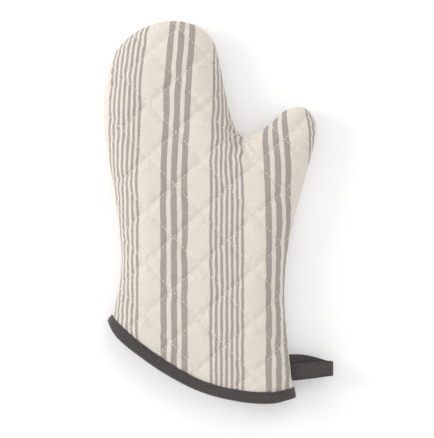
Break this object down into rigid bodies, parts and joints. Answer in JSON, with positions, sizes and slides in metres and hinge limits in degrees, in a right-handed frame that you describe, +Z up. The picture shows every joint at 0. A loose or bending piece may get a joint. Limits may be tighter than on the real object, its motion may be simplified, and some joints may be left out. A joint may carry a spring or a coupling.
{
  "type": "oven mitt",
  "caption": "Quilted cotton oven mitt with one thumb, striped outer cloth, bound slanting cuff and a sewn hanging loop; fingers and thumb fold over the palm.",
  "frame": {"origin": "centre of the bounding box's base: the flat sole that lies on the table, midway across and midway along", "axes": "+X to the thumb side and the hanging loop, +Y from the cuff to the fingertips, +Z up out of the upper panel"},
  "size_m": [0.1994, 0.3298, 0.0347],
  "materials": {
    "striped_cotton": "matte woven cotton, cream with grey stripes",
    "wadding": "soft fibre wadding",
    "lining": "plain matte cotton",
    "cream_thread": "cotton thread",
    "binding": "matte charcoal cotton tape",
    "loop_tape": "matte charcoal cotton tape",
    "charcoal_thread": "charcoal thread"
  },
  "bodies": {
    "hand": {"palm_front_outer": "striped_cotton", "palm_front_wadding": "wadding", "palm_front_lining": "lining", "palm_back_outer": "striped_cotton", "palm_back_wadding": "wadding", "palm_back_lining": "lining", "palm_front_quilting": "cream_thread", "palm_back_quilting": "cream_thread", "palm_seam_thread": "cream_thread", "cuff_binding": "binding", "binding_stitching": "charcoal_thread", "loop_seam_ends": "loop_tape"},
    "fingers": {"fingers_front_outer": "striped_cotton", "fingers_front_wadding": "wadding", "fingers_front_lining": "lining", "fingers_back_outer": "striped_cotton", "fingers_back_wadding": "wadding", "fingers_back_lining": "lining", "fingers_front_quilting": "cream_thread", "fingers_back_quilting": "cream_thread", "fingers_seam_thread": "cream_thread"},
    "thumb": {"thumb_front_outer": "striped_cotton", "thumb_front_wadding": "wadding", "thumb_front_lining": "lining", "thumb_back_outer": "striped_cotton", "thumb_back_wadding": "wadding", "thumb_back_lining": "lining", "thumb_front_quilting": "cream_thread", "thumb_back_quilting": "cream_thread", "thumb_seam_thread": "cream_thread"},
    "loop": {"hanging_loop": "loop_tape", "loop_stitching": "charcoal_thread"}
  },
  "joints": [
    {"name": "fingers_fold", "type": "hinge", "parent": "hand", "child": "fingers", "pos_m": [-0.0435, 0.08, 0.021], "axis": [1, 0, 0], "range_deg": [0, 48], "stiffness_Nm_per_rad": 0.12},
    {"name": "thumb_fold", "type": "hinge", "parent": "hand", "child": "thumb", "pos_m": [0.04, 0.01425, 0.021], "axis": [0.3575, -0.9339, 0], "range_deg": [0, 48], "stiffness_Nm_per_rad": 0.08},
    {"name": "loop_swing", "type": "hinge", "parent": "hand", "child": "loop", "pos_m": [0.06583, -0.13512, 0.015], "axis": [0.1163, -0.9932, 0], "range_deg": [-70, 70], "stiffness_Nm_per_rad": 0.004}
  ]
}
